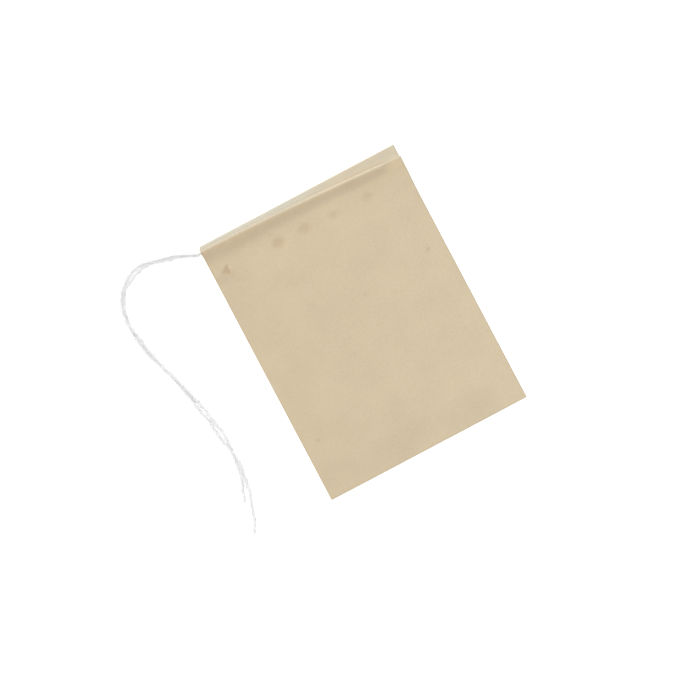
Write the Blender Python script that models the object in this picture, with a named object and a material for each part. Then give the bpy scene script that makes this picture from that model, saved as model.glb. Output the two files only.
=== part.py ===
"""Empty drawstring filter bag for loose tea, lying flat with its two string tails out to one side.

One web of heat-sealable filter paper is folded across the bottom. Both of its ends are turned in at the
top as hems and tacked down by a row of heat-sealed spots. The sides are sealed through both panels. A
cotton string runs in each hem: its far end is caught in the right seal, and its tail leaves on the left.

Frame, in metres: X across the width, Y from the bottom fold to the mouth, Z up from the surface. The
origin is the middle of the bag's footprint, on the surface.
"""

import math

import bmesh
import bpy
from mathutils import Matrix, Vector

# Paper bag
WIDTH = 0.070
HEIGHT = 0.0906
PAPER = 0.00012
PRESSED_GAP = 0.00002  # what is left between two layers where a seal presses them together
SEAL_WIDTH = 0.0035
TRIM = 0.001  # paper past each side edge, cut off through all layers once the seals are made
BOTTOM_GAP = 0.00025  # between the panels just above the bottom fold
PILLOW = 0.0011  # between the panels in the middle of the bag
PILLOW_RISE = 0.011  # how far in from a seal or the bottom fold the panels take to part
COCKLE = 0.00008  # height of the front panel's slow waves
COCKLE_LENGTH = 0.023

# Hems
HEM_DEPTH = 0.0107
FRONT_DROP_LEFT = 0.00135  # how far the front top fold lies below the back one
FRONT_DROP_RIGHT = 0.0041
FRONT_DROP_BEND = 1.6  # 1 for a straight front fold, more to keep it high for longer from the left
MOUTH_GAP = 0.00015  # between the two hems
FRONT_SLACK = 0.00022  # between the front panel and its turned-in edge, away from the string
BACK_SLACK = 0.00010
FRONT_TUNNEL = 0.0005  # how far below the fold each hem stands open for the string
BACK_TUNNEL = 0.0018
FRONT_TUNNEL_SLOPE = 0.0018
BACK_TUNNEL_SLOPE = 0.0024
SEAL_TAPER = 0.004  # length over which the hems close down to the right seal

# Heat-sealed spots along the hems
SPOT_PITCH = 0.010
SPOT_FIRST = 0.0038  # from the left side edge
SPOT_LAST_MARGIN = 0.0055  # least distance from the last spot to the right side edge
SPOT_RADIUS = 0.0007
SPOT_FADE = 0.0011  # width of the dent around a spot
SPOT_INSET = 0.0009  # from the turned-in edge up to the row of spots
SPOT_SIDES = 8

# String
STRING = 0.0005
STRING_PLAY = 0.00015  # between the string and the paper around it
TAIL_GAP = 0.0003  # between the face of a run and the face of its tail
RUN_STEP = 0.0025
TAIL_STEP = 0.0016
BACK_RUN_SHIFT = 0.0014  # how far the back run slips down from its fold at the left side edge
BACK_RUN_SHIFT_LENGTH = 0.011

ARC_STEPS = 5
BOTTOM_ARC_STEPS = 4
LEAST_COLUMN = 0.0005
LAYER = PAPER + PRESSED_GAP
TUNNEL_GAP = STRING + 2 * STRING_PLAY

LEFT = -WIDTH / 2
RIGHT = WIDTH / 2
BOTTOM = -HEIGHT / 2
TOP = HEIGHT / 2
FLAP_EDGE = TOP - HEM_DEPTH
SPOT_ROW = FLAP_EDGE + SPOT_INSET
SEAL_TOP = FLAP_EDGE - 2 * SPOT_INSET / 3
LEFT_SEAL = LEFT + SEAL_WIDTH
RIGHT_SEAL = RIGHT - SEAL_WIDTH

# Each tail's route from its exit, in millimetres across and up the bag from the top left corner of the
# footprint, and above the surface. The tails swap sides where one passes over the other.
FRONT_TAIL_ROUTE = [
    (-1.22, -1.8, 1.62), (-3.01, -1.05, 1.15), (-5.89, 0.49, 0.62), (-8.78, 1.68, 0.27),
    (-11.96, 2.18, 0.25), (-15.04, 3.02, 0.25), (-18.32, 3.72, 0.25), (-21.6, 3.22, 0.25),
    (-24.58, 1.73, 0.25), (-27.21, -0.36, 0.25), (-29.1, -3.04, 0.25), (-30.49, -5.92, 0.32),
    (-30.99, -9.2, 0.82), (-30.79, -12.38, 0.82), (-30.19, -15.46, 0.3), (-29.65, -18.64, 0.25),
    (-29.2, -21.62, 0.25), (-28.55, -24.7, 0.25), (-27.76, -27.79, 0.25), (-26.96, -30.87, 0.25),
    (-25.97, -33.85, 0.25), (-25.52, -37.03, 0.25), (-24.73, -40.11, 0.25), (-24.28, -43.19, 0.25),
    (-23.78, -46.37, 0.25), (-22.89, -49.45, 0.25), (-22.54, -52.53, 0.25), (-22.19, -55.71, 0.25),
    (-21.65, -58.79, 0.32), (-20.8, -61.87, 0.82), (-20.45, -65.05, 0.35), (-20.4, -68.23, 0.25),
    (-20.95, -71.32, 0.25), (-21.5, -74.3, 0.25), (-22.14, -77.48, 0.25), (-23.29, -80.46, 0.25),
    (-24.18, -83.54, 0.25), (-25.37, -86.22, 0.25), (-26.07, -87.61, 0.25),
]
BACK_TAIL_ROUTE = [
    (-1.22, -2.14, 0.45), (-3.11, -1.3, 0.3), (-5.99, -0.01, 0.25), (-9.07, 0.84, 0.25),
    (-12.06, 1.58, 0.25), (-15.14, 2.43, 0.25), (-18.22, 2.53, 0.25), (-21.2, 1.88, 0.25),
    (-23.98, 0.64, 0.25), (-26.71, -0.85, 0.25), (-28.45, -3.44, 0.25), (-29.85, -6.22, 0.25),
    (-30.59, -9.3, 0.25), (-31.09, -12.38, 0.25), (-30.94, -15.66, 0.25), (-30.64, -18.84, 0.25),
    (-30.09, -21.92, 0.25), (-29.2, -24.9, 0.36), (-28.11, -27.93, 0.78), (-26.81, -30.82, 0.82),
    (-25.62, -33.75, 0.78), (-24.88, -36.83, 0.3), (-23.88, -39.91, 0.25), (-23.09, -42.99, 0.25),
    (-22.29, -45.97, 0.25), (-21.65, -49.15, 0.25), (-21.2, -52.33, 0.25), (-20.5, -55.41, 0.25),
    (-20.5, -58.59, 0.25), (-20.65, -61.77, 0.25), (-21.25, -65.05, 0.25), (-21.5, -68.14, 0.25),
    (-22.19, -71.22, 0.25), (-23.29, -74.2, 0.25), (-24.48, -77.48, 0.25),
]
ROUTE_UNIT = 0.001


def clear_scene():
    for obj in list(bpy.data.objects):
        bpy.data.objects.remove(obj, do_unlink=True)


def make_material(name, color, roughness):
    material = bpy.data.materials.new(name)
    material.use_nodes = True
    shader = material.node_tree.nodes["Principled BSDF"]
    shader.inputs["Base Color"].default_value = (*color, 1.0)
    shader.inputs["Roughness"].default_value = roughness
    shader.inputs["Metallic"].default_value = 0.0
    material.diffuse_color = (*color, 1.0)
    return material


def ease(start, end, value):
    """Smooth step from 0 at start to 1 at end."""
    share = min(max((value - start) / (end - start), 0.0), 1.0)
    return share * share * (3 - 2 * share)


def mix(first, second, share):
    return first + (second - first) * share


# Across the bag


def hem_openness(x):
    """1 where the hems stand open, 0 where the right seal presses them flat."""
    return 1 - ease(RIGHT_SEAL - SEAL_TAPER, RIGHT_SEAL, x)


def side_openness(x):
    """0 in the side seals, rising to 1 inside them."""
    inside = min(x - LEFT_SEAL, RIGHT_SEAL - x)
    return ease(0.0, PILLOW_RISE, inside)


def tunnel_radius(x):
    """Radius of a top fold, to the middle of the paper."""
    gap = mix(PRESSED_GAP, TUNNEL_GAP, hem_openness(x))
    return (PAPER + gap) / 2


def front_fold_top(x):
    share = max((x - LEFT) / WIDTH, 0.0)
    return TOP - mix(FRONT_DROP_LEFT, FRONT_DROP_RIGHT, share**FRONT_DROP_BEND)


def fold_centre_y(fold_top, x):
    return fold_top - PAPER / 2 - tunnel_radius(x)


def spot_centres():
    centres = []
    x = LEFT + SPOT_FIRST
    while x <= RIGHT - SPOT_LAST_MARGIN:
        centres.append(x)
        x += SPOT_PITCH
    return centres


def pinch(x, y):
    """1 on a heat-sealed spot, fading to 0 around it."""
    distance = min(math.hypot(x - centre, y - SPOT_ROW) for centre in spot_centres())
    return 1 - ease(SPOT_RADIUS, SPOT_RADIUS + SPOT_FADE, distance)


# Heights of the paper's middle surface


def hem_gap(x, y, fold_y, slack, tunnel, slope):
    """Gap between a panel and its turned-in edge: pressed at spots and seal, open along the fold."""
    standing = 1 - ease(tunnel, tunnel + slope, fold_y - y)
    open_gap = mix(mix(slack, PRESSED_GAP, pinch(x, y)), TUNNEL_GAP, standing)
    return mix(PRESSED_GAP, open_gap, hem_openness(x))


def back_flap_z(x, y):
    fold_y = fold_centre_y(TOP, x)
    return PAPER / 2 + PAPER + hem_gap(x, y, fold_y, BACK_SLACK, BACK_TUNNEL, BACK_TUNNEL_SLOPE)


def front_flap_z(x, y):
    return back_flap_z(x, y) + PAPER + mix(PRESSED_GAP, MOUTH_GAP, hem_openness(x))


def front_hem_z(x, y):
    fold_y = fold_centre_y(front_fold_top(x), x)
    gap = hem_gap(x, y, fold_y, FRONT_SLACK, FRONT_TUNNEL, FRONT_TUNNEL_SLOPE)
    return front_flap_z(x, y) + PAPER + gap


def front_panel_z(x, y):
    if y >= FLAP_EDGE:
        return front_hem_z(x, y)
    sealed = PAPER / 2 + LAYER
    side = side_openness(x)
    waves = math.sin(2 * math.pi * (x + y / 3) / COCKLE_LENGTH) * math.cos(2 * math.pi * y / (2 * COCKLE_LENGTH))
    full = PILLOW + COCKLE * waves
    gap = mix(BOTTOM_GAP, full, ease(0.0, PILLOW_RISE, y - BOTTOM))
    body = mix(sealed, PAPER / 2 + PAPER + gap, side)
    below_hem = ease(0.0, mix(FLAP_EDGE - SEAL_TOP, PILLOW_RISE, side), FLAP_EDGE - y)
    return mix(front_hem_z(x, FLAP_EDGE), body, below_hem)


# The folded web


def web_columns():
    """Places across the width where the web is bent or seen."""
    wanted = [RIGHT_SEAL - SEAL_TAPER, RIGHT_SEAL - SEAL_TAPER / 2]
    for centre in spot_centres():
        for offset in (-SPOT_RADIUS - SPOT_FADE, -SPOT_RADIUS, SPOT_RADIUS, SPOT_RADIUS + SPOT_FADE):
            wanted.append(centre + offset)
        wanted.append(centre + SPOT_PITCH / 2)
    kept = [LEFT - TRIM, LEFT_SEAL, RIGHT_SEAL, RIGHT + TRIM]
    for x in wanted:
        if LEFT < x < RIGHT and min(abs(x - other) for other in kept) > LEAST_COLUMN:
            kept.append(x)
    return sorted(kept)


def hem_rows(fold_y, tunnel, slope):
    """Heights up a hem, from the turned-in edge to the fold's centre line."""
    spot_top = SPOT_ROW + SPOT_RADIUS
    dent_top = spot_top + SPOT_FADE
    open_from = fold_y - tunnel - slope
    rows = [FLAP_EDGE, SPOT_ROW - SPOT_RADIUS, spot_top, dent_top]
    rows += [open_from + slope * share for share in (0.0, 0.35, 0.65, 1.0)]
    rows.append(fold_y)
    return rows


def body_rows():
    """Heights up the front panel below the hem, from the bottom fold's centre line."""
    rows = [BOTTOM + PILLOW_RISE * share for share in (0.15, 0.4, 0.7, 1.0)]
    rows += [mix(rows[-1], SEAL_TOP - PILLOW_RISE, share / 6) for share in range(1, 7)]
    rows += [SEAL_TOP - PILLOW_RISE * share for share in (0.6, 0.25, 0.0)]
    return rows


def fold_arc(centre_y, centre_z, radius, start, end, steps):
    """Points between start and end, in degrees from +Y towards +Z, both left out."""
    points = []
    for step in range(1, steps):
        angle = math.radians(mix(start, end, step / steps))
        points.append((centre_y + radius * math.cos(angle), centre_z + radius * math.sin(angle)))
    return points


def web_section(x):
    """The web's middle line at one place across the width, from the back turned-in edge to the front one."""
    radius = tunnel_radius(x)
    back_fold = fold_centre_y(TOP, x)
    front_fold = fold_centre_y(front_fold_top(x), x)
    back_rows = hem_rows(back_fold, BACK_TUNNEL, BACK_TUNNEL_SLOPE)
    front_rows = hem_rows(front_fold, FRONT_TUNNEL, FRONT_TUNNEL_SLOPE)

    section = [(y, back_flap_z(x, y)) for y in back_rows]
    section += fold_arc(back_fold, PAPER / 2 + radius, radius, 90, -90, ARC_STEPS)
    bottom_radius = (front_panel_z(x, BOTTOM) - PAPER / 2) / 2
    bottom_centre = BOTTOM + PAPER / 2 + bottom_radius
    section += [(y, PAPER / 2) for y in (back_fold, FLAP_EDGE, 0.0, bottom_centre)]
    section += fold_arc(bottom_centre, PAPER / 2 + bottom_radius, bottom_radius, -90, -270, BOTTOM_ARC_STEPS)
    section.append((bottom_centre, PAPER / 2 + 2 * bottom_radius))
    section += [(y, front_panel_z(x, y)) for y in body_rows() + front_rows]
    front_centre_z = front_flap_z(x, front_fold) + radius
    section += fold_arc(front_fold, front_centre_z, radius, 90, -90, ARC_STEPS)
    section += [(y, front_flap_z(x, y)) for y in reversed(front_rows)]
    return section


def make_web(material):
    """The unfolded web as a grid, folded column by column, with the paper's thickness put on after."""
    columns = web_columns()
    sections = [web_section(x) for x in columns]
    last_column = len(columns) - 1
    last_row = len(sections[0]) - 1
    mesh = bpy.data.meshes.new("filter_bag")
    grid = bmesh.new()
    bmesh.ops.create_grid(grid, x_segments=last_column, y_segments=last_row, size=1.0)
    for vertex in grid.verts:
        column = round((vertex.co.x + 1) / 2 * last_column)
        row = round((vertex.co.y + 1) / 2 * last_row)
        y, z = sections[column][row]
        vertex.co = (columns[column], y, z)
    grid.to_mesh(mesh)
    grid.free()
    mesh.materials.append(material)
    web = bpy.data.objects.new("filter_bag", mesh)
    bpy.context.collection.objects.link(web)
    thickness = web.modifiers.new("paper thickness", "SOLIDIFY")
    thickness.thickness = PAPER
    thickness.offset = 0.0
    thickness.use_even_offset = True
    thickness.use_quality_normals = True
    return web


# What the heat seals fuse


def make_helper(name, shape):
    """A fusing shape, joined to the paper and never drawn by itself."""
    bmesh.ops.recalc_face_normals(shape, faces=shape.faces)
    mesh = bpy.data.meshes.new(name)
    shape.to_mesh(mesh)
    shape.free()
    helper = bpy.data.objects.new(name, mesh)
    bpy.context.collection.objects.link(helper)
    helper.hide_render = True
    helper.display_type = "WIRE"
    return helper


def make_seal(name, x_ends, outline_at):
    """A strip that fuses every layer between two places across the bag, from layer middle to layer middle."""
    shape = bmesh.new()
    for x in x_ends:
        loop = [shape.verts.new((x, y, z)) for y, z in outline_at(x)]
        shape.faces.new(loop)
    bmesh.ops.bridge_loops(shape, edges=shape.edges[:])
    return make_helper(name, shape)


def panel_seal_line(x):
    """The front panel's middle line from the bottom fold up to the end of the seal below the hems."""
    rows = [BOTTOM + PAPER / 2] + body_rows()
    return [(y, front_panel_z(x, y)) for y in rows]


def left_seal_outline(x):
    return [(BOTTOM + PAPER / 2, PAPER / 2)] + panel_seal_line(x) + [(SEAL_TOP, PAPER / 2)]


def right_seal_outline(x):
    """Panels below, all four layers through the hems, and the back hem alone above the front fold."""
    fold_y = fold_centre_y(front_fold_top(x), x)
    rows = hem_rows(fold_y, FRONT_TUNNEL, FRONT_TUNNEL_SLOPE)
    front_end = front_fold_top(x) - PAPER / 2
    back_end = TOP - PAPER / 2
    outline = [(BOTTOM + PAPER / 2, PAPER / 2)] + panel_seal_line(x)
    outline += [(y, front_hem_z(x, y)) for y in rows]
    outline += [(front_end, front_hem_z(x, fold_y)), (front_end, back_flap_z(x, fold_y))]
    outline += [(back_end, back_flap_z(x, fold_y)), (back_end, PAPER / 2)]
    return outline


def make_seals():
    return [
        make_seal("left_seal", (LEFT - TRIM / 2, LEFT_SEAL), left_seal_outline),
        make_seal("right_seal", (RIGHT_SEAL, RIGHT + TRIM / 2), right_seal_outline),
    ]


def make_spots(name, lower_z, upper_z):
    """One short plug for each heat-sealed spot of one hem, from layer middle to layer middle."""
    shape = bmesh.new()
    half_side_turn = Matrix.Rotation(math.pi / SPOT_SIDES, 4, "Z")
    for x in spot_centres():
        low = lower_z(x, SPOT_ROW)
        high = upper_z(x, SPOT_ROW)
        place = Matrix.Translation((x, SPOT_ROW, (low + high) / 2)) @ half_side_turn
        bmesh.ops.create_cone(
            shape,
            cap_ends=True,
            segments=SPOT_SIDES,
            radius1=SPOT_RADIUS,
            radius2=SPOT_RADIUS,
            depth=high - low,
            matrix=place,
        )
    return make_helper(name, shape)


def back_panel_z(x, y):
    return PAPER / 2


def make_trim():
    """A block as wide as the finished bag, which cuts both side edges clean through all layers."""
    shape = bmesh.new()
    bmesh.ops.create_cube(shape, size=1.0, matrix=Matrix.Diagonal((WIDTH, 2 * HEIGHT, HEIGHT, 1.0)))
    return make_helper("side_edge_trim", shape)


def combine(web, helper, operation):
    joint = web.modifiers.new(helper.name, "BOOLEAN")
    joint.operation = operation
    joint.solver = "EXACT"
    joint.object = helper


def make_filter_bag(material):
    web = make_web(material)
    for seal in make_seals():
        combine(web, seal, "UNION")
    combine(web, make_spots("back_hem_spots", back_panel_z, back_flap_z), "UNION")
    combine(web, make_spots("front_hem_spots", front_flap_z, front_hem_z), "UNION")
    combine(web, make_trim(), "INTERSECT")
    return web


# String


def smooth_path(points, step):
    """Points about a step apart on a smooth curve through the given ones."""
    count = len(points)
    path = []
    for index in range(count - 1):
        before = points[max(index - 1, 0)]
        start = points[index]
        end = points[index + 1]
        after = points[min(index + 2, count - 1)]
        pieces = max(1, round((end - start).length / step))
        for piece in range(pieces):
            t = piece / pieces
            tangent_in = (end - before) / 2
            tangent_out = (after - start) / 2
            point = (2 * t**3 - 3 * t**2 + 1) * start + (t**3 - 2 * t**2 + t) * tangent_in
            point += (3 * t**2 - 2 * t**3) * end + (t**3 - t**2) * tangent_out
            path.append(point)
    path.append(points[-1])
    return path


def make_string(name, path, material):
    curve = bpy.data.curves.new(name, "CURVE")
    curve.dimensions = "3D"
    curve.bevel_depth = STRING / 2
    curve.bevel_resolution = 2
    curve.use_fill_caps = True
    curve.materials.append(material)
    line = curve.splines.new("POLY")
    line.points.add(len(path) - 1)
    line.use_smooth = True
    for point, place in zip(line.points, path):
        point.co = (*place, 1.0)
    string = bpy.data.objects.new(name, curve)
    bpy.context.collection.objects.link(string)
    return string


def front_run_place(x):
    fold_y = fold_centre_y(front_fold_top(x), x)
    return Vector((x, fold_y, front_flap_z(x, fold_y) + tunnel_radius(x)))


def back_run_place(x):
    fold_y = fold_centre_y(TOP, x)
    shift = BACK_RUN_SHIFT * (1 - ease(LEFT, LEFT + BACK_RUN_SHIFT_LENGTH, x))
    return Vector((x, fold_y - shift, PAPER / 2 + tunnel_radius(x)))


def run_points(place):
    """From the left side edge to where the hem starts closing down to the right seal."""
    end = RIGHT_SEAL - SEAL_TAPER
    count = round((end - LEFT) / RUN_STEP)
    return [place(mix(LEFT, end, index / count)) for index in range(count + 1)]


def tail_points(run_start, route):
    corner = Vector((LEFT, TOP, 0.0))
    points = [run_start - Vector((TAIL_GAP, 0.0, 0.0))]
    points += [corner + Vector(place) * ROUTE_UNIT for place in route]
    path = smooth_path(points, TAIL_STEP)
    for point in path:
        point.z = max(point.z, STRING / 2)
    return path


def make_drawstrings(material):
    for side, place, route in (
        ("front", front_run_place, FRONT_TAIL_ROUTE),
        ("back", back_run_place, BACK_TAIL_ROUTE),
    ):
        run = run_points(place)
        make_string(f"{side}_string_in_hem", run, material)
        make_string(f"{side}_string_tail", tail_points(run[0], route), material)


def main():
    clear_scene()
    paper = make_material("filter_paper", (0.67, 0.55, 0.38), 0.9)
    cotton = make_material("cotton_string", (0.87, 0.86, 0.83), 0.85)
    make_filter_bag(paper)
    make_drawstrings(cotton)


main()
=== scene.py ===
"""Empty drawstring filter bag for loose tea: a folded web of unbleached paper, hemmed at its open top,
and a cotton string in each hem whose tail lies out beside the bag."""

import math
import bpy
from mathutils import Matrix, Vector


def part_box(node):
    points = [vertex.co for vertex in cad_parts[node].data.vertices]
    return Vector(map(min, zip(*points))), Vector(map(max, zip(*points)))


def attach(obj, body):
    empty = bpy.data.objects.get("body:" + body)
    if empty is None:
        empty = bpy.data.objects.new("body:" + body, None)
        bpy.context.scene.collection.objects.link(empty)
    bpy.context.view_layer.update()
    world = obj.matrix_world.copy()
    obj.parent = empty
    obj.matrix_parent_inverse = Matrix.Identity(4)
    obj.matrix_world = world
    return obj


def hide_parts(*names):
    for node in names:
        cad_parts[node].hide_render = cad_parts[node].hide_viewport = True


bl_info = {
    "name": "Drawstring Filter Bag",
    "version": (1, 0, 0),
    "blender": (4, 5, 0),
    "location": "View3D > Sidebar > Filter Bag",
    "description": "Makes a flat paper filter bag with its drawstring, and the stage it lies on",
    "category": "Add Mesh",
}

import bmesh
import bpy
from mathutils import Vector, noise

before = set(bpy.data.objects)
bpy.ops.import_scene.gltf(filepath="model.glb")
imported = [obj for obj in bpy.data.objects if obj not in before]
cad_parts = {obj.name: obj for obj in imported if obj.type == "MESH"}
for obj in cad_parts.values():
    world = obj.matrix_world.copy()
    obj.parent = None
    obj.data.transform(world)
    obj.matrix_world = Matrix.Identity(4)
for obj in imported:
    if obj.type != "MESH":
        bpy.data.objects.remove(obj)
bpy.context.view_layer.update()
BAG_LOW, BAG_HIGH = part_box("filter_bag")

ROOT = "root"
CORNER = Vector((BAG_LOW[0], BAG_HIGH[1], 0.0))
MILLIMETRE = 0.001

# Each tail's route from the bag's top left corner, in millimetres across, up and above the surface
FRONT_TAIL_ROUTE = [
    (-1.22, -1.8, 1.62), (-3.01, -1.05, 1.15), (-5.89, 0.49, 0.62), (-8.78, 1.68, 0.27),
    (-11.96, 2.18, 0.25), (-15.04, 3.02, 0.25), (-18.32, 3.72, 0.25), (-21.6, 3.22, 0.25),
    (-24.58, 1.73, 0.25), (-27.21, -0.36, 0.25), (-29.1, -3.04, 0.25), (-30.49, -5.92, 0.32),
    (-30.99, -9.2, 0.82), (-30.79, -12.38, 0.82), (-30.19, -15.46, 0.3), (-29.65, -18.64, 0.25),
    (-29.2, -21.62, 0.25), (-28.55, -24.7, 0.25), (-27.76, -27.79, 0.25), (-26.96, -30.87, 0.25),
    (-25.97, -33.85, 0.25), (-25.52, -37.03, 0.25), (-24.73, -40.11, 0.25), (-24.28, -43.19, 0.25),
    (-23.78, -46.37, 0.25), (-22.89, -49.45, 0.25), (-22.54, -52.53, 0.25), (-22.19, -55.71, 0.25),
    (-21.65, -58.79, 0.32), (-20.8, -61.87, 0.82), (-20.45, -65.05, 0.35), (-20.4, -68.23, 0.25),
    (-20.95, -71.32, 0.25), (-21.5, -74.3, 0.25), (-22.14, -77.48, 0.25), (-23.29, -80.46, 0.25),
    (-24.18, -83.54, 0.25), (-25.37, -86.22, 0.25), (-26.07, -87.61, 0.25),
]
BACK_TAIL_ROUTE = [
    (-1.22, -2.14, 0.45), (-3.11, -1.3, 0.3), (-5.99, -0.01, 0.25), (-9.07, 0.84, 0.25),
    (-12.06, 1.58, 0.25), (-15.14, 2.43, 0.25), (-18.22, 2.53, 0.25), (-21.2, 1.88, 0.25),
    (-23.98, 0.64, 0.25), (-26.71, -0.85, 0.25), (-28.45, -3.44, 0.25), (-29.85, -6.22, 0.25),
    (-30.59, -9.3, 0.25), (-31.09, -12.38, 0.25), (-30.94, -15.66, 0.25), (-30.64, -18.84, 0.25),
    (-30.09, -21.92, 0.25), (-29.2, -24.9, 0.36), (-28.11, -27.93, 0.78), (-26.81, -30.82, 0.82),
    (-25.62, -33.75, 0.78), (-24.88, -36.83, 0.3), (-23.88, -39.91, 0.25), (-23.09, -42.99, 0.25),
    (-22.29, -45.97, 0.25), (-21.65, -49.15, 0.25), (-21.2, -52.33, 0.25), (-20.5, -55.41, 0.25),
    (-20.5, -58.59, 0.25), (-20.65, -61.77, 0.25), (-21.25, -65.05, 0.25), (-21.5, -68.14, 0.25),
    (-22.19, -71.22, 0.25), (-23.29, -74.2, 0.25), (-24.48, -77.48, 0.25),
]


# Settings


class FilterBagPaperSettings(bpy.types.PropertyGroup):
    """Sizes and colours of the paper bag."""

    thickness: bpy.props.FloatProperty(
        name="Paper", description="Thickness of the filter paper", default=0.00012, precision=5, unit="LENGTH"
    )
    seal_width: bpy.props.FloatProperty(
        name="Seal Width", description="Width of the heat seal along each side", default=0.0035, unit="LENGTH"
    )
    hem_depth: bpy.props.FloatProperty(
        name="Hem Depth", description="How far the top edges are turned in", default=0.0107, unit="LENGTH"
    )
    drop_left: bpy.props.FloatProperty(
        name="Front Drop, Left",
        description="How far the front fold lies below the back fold at the left",
        default=0.00135,
        precision=5,
        unit="LENGTH",
    )
    drop_right: bpy.props.FloatProperty(
        name="Front Drop, Right",
        description="How far the front fold lies below the back fold at the right",
        default=0.0041,
        unit="LENGTH",
    )
    drop_bend: bpy.props.FloatProperty(
        name="Front Drop, Bend",
        description="1 for a straight front fold, more to keep it high for longer from the left",
        default=1.6,
    )
    pillow: bpy.props.FloatProperty(
        name="Pillow", description="Gap between the panels in the middle", default=0.0011, unit="LENGTH"
    )
    crinkle: bpy.props.FloatProperty(
        name="Crinkle",
        description="Height of the paper's small waves",
        default=0.00003,
        precision=5,
        unit="LENGTH",
    )
    color: bpy.props.FloatVectorProperty(
        name="Paper Colour",
        description="Two layers of unbleached paper",
        subtype="COLOR",
        default=(0.60, 0.485, 0.325),
        min=0.0,
        max=1.0,
    )
    # The hem colour is partly four layers of paper and partly painted shade, laid on deepest just under the
    # front fold
    hem_and_fold_shade_color: bpy.props.FloatVectorProperty(
        name="Hem Colour",
        description="Four layers of paper at the hems",
        subtype="COLOR",
        default=(0.545, 0.42, 0.265),
        min=0.0,
        max=1.0,
    )
    # The strip colour is where the table shows through the back hem, and is also the painted highlight on the
    # front fold's crest
    strip_color: bpy.props.FloatVectorProperty(
        name="Strip Colour",
        description="The back hem beyond the front fold, where the table shows through",
        subtype="COLOR",
        default=(0.62, 0.58, 0.475),
        min=0.0,
        max=1.0,
    )
    # The pressed colour is painted shade in the dents of the heat-sealed spots and of the pinch beside the
    # strings
    dent_shade_color: bpy.props.FloatVectorProperty(
        name="Pressed Colour",
        description="Paper fused at the heat-sealed spots",
        subtype="COLOR",
        default=(0.48, 0.355, 0.22),
        min=0.0,
        max=1.0,
    )
    fleck_color: bpy.props.FloatVectorProperty(
        name="Fleck Colour",
        description="Unbleached flecks in the paper",
        subtype="COLOR",
        default=(0.42, 0.30, 0.17),
        min=0.0,
        max=1.0,
    )


class FilterBagStringSettings(bpy.types.PropertyGroup):
    """Sizes and colours of the string."""

    diameter: bpy.props.FloatProperty(
        name="Diameter", description="Diameter of the string", default=0.0005, precision=5, unit="LENGTH"
    )
    play: bpy.props.FloatProperty(
        name="Play",
        description="Gap between the string and its hem",
        default=0.00015,
        precision=5,
        unit="LENGTH",
    )
    twist_pitch: bpy.props.FloatProperty(
        name="Twist Pitch",
        description="Length of one turn of a ply",
        default=0.0016,
        precision=5,
        unit="LENGTH",
    )
    fuzz_length: bpy.props.FloatProperty(
        name="Fuzz Length",
        description="Length of the loose fibres",
        default=0.0011,
        precision=5,
        unit="LENGTH",
    )
    fuzz_spacing: bpy.props.FloatProperty(
        name="Fuzz Spacing",
        description="Distance from one loose fibre to the next",
        default=0.000025,
        precision=6,
        unit="LENGTH",
    )
    color: bpy.props.FloatVectorProperty(
        name="String Colour",
        description="Bleached cotton",
        subtype="COLOR",
        default=(0.835, 0.825, 0.818),
        min=0.0,
        max=1.0,
    )


class FilterBagStageSettings(bpy.types.PropertyGroup):
    """Camera, floor and light."""

    picture_width: bpy.props.FloatProperty(
        name="Picture Width", description="Width seen at the surface", default=0.22206, unit="LENGTH"
    )
    look_x: bpy.props.FloatProperty(
        name="Look At X", description="Middle of the picture across the bag", default=-0.00762, unit="LENGTH"
    )
    look_y: bpy.props.FloatProperty(
        name="Look At Y", description="Middle of the picture up the bag", default=-0.00593, unit="LENGTH"
    )
    turn: bpy.props.FloatProperty(
        name="Turn",
        description="How far the bag's top edge is turned in the picture",
        default=math.radians(27.87),
        subtype="ANGLE",
    )
    key_power: bpy.props.FloatProperty(
        name="Key", description="Power of the key light in watts", default=28.8
    )
    fill_power: bpy.props.FloatProperty(
        name="Fill", description="Power of the near fill light in watts", default=0.09
    )
    sky: bpy.props.FloatProperty(name="Sky", description="Strength of the even light all round", default=0.70)


def paper_settings():
    return bpy.context.scene.filter_bag_paper


def string_settings():
    return bpy.context.scene.filter_bag_string


def stage_settings():
    return bpy.context.scene.filter_bag_stage


# Small helpers


def ease(start, end, value):
    """Smooth step from 0 at start to 1 at end."""
    share = min(max((value - start) / (end - start), 0.0), 1.0)
    return share * share * (3 - 2 * share)


def mix(first, second, share):
    return first + (second - first) * share


def link(obj):
    bpy.context.scene.collection.objects.link(obj)
    return obj


def baked(obj, name):
    """The object's evaluated shape as a plain mesh object, in place of the object."""
    bpy.context.view_layer.update()
    evaluated = obj.evaluated_get(bpy.context.evaluated_depsgraph_get())
    mesh = bpy.data.meshes.new_from_object(evaluated)
    mesh.name = name
    bpy.data.objects.remove(obj, do_unlink=True)
    return link(bpy.data.objects.new(name, mesh))


# Shape of the bag


# Heat-sealed spots of the front hem, in millimetres across and up the bag: centre, half width, half height
# of the dent, then how deep it is and how dark its painted shade is, from 0 to 1
FRONT_SPOTS = [
    (-21.2, 34.9, 1.2, 1.1, 0.5, 0.1),
    (-11.8, 34.6, 2.3, 2.1, 1.0, 0.62),
    (-2.3, 34.5, 2.5, 2.1, 1.0, 0.46),
    (7.9, 34.0, 2.4, 1.7, 0.9, 0.33),
    (20.0, 34.1, 2.4, 1.8, 0.7, 0.3),
    (29.5, 34.9, 1.2, 1.1, 0.3, 0.0),
]
# The spot nearest the strings is pinched to a small triangle
PINCH_PLACE = (-30.45, 34.46)
PINCH_REACH = 1.15


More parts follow.
